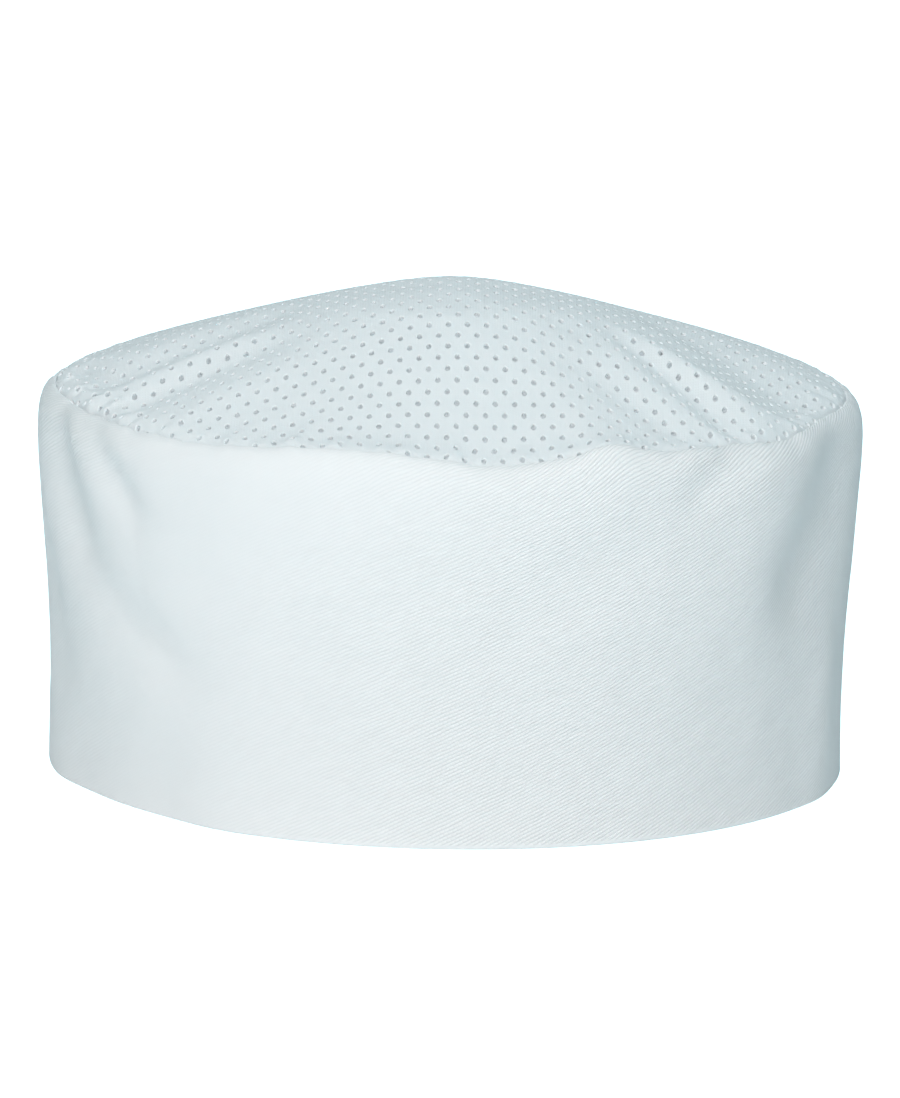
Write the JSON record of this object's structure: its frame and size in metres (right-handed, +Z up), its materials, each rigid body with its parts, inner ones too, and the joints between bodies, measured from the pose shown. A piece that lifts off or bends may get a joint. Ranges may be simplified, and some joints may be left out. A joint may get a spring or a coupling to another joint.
{
  "type": "chef skull cap",
  "caption": "Low round cook's cap: an upright double-walled cloth band with a shallow domed crown of perforated mesh cloth, open below for the head.",
  "frame": {"origin": "centre of the box, at the height of the hem's underside, which is the plane the cap stands on", "axes": "+Z up through the crown, +X to the right of a viewer who faces the front, front of the cap towards -Y"},
  "size_m": [0.2032, 0.187, 0.1232],
  "materials": {
    "cotton_twill": "matt white twill with fine diagonal ribs",
    "mesh_cloth": "matt white knitted mesh with rows of small eyelets"
  },
  "bodies": {
    "root": {"band": "cotton_twill", "crown": "mesh_cloth"}
  },
  "joints": []
}
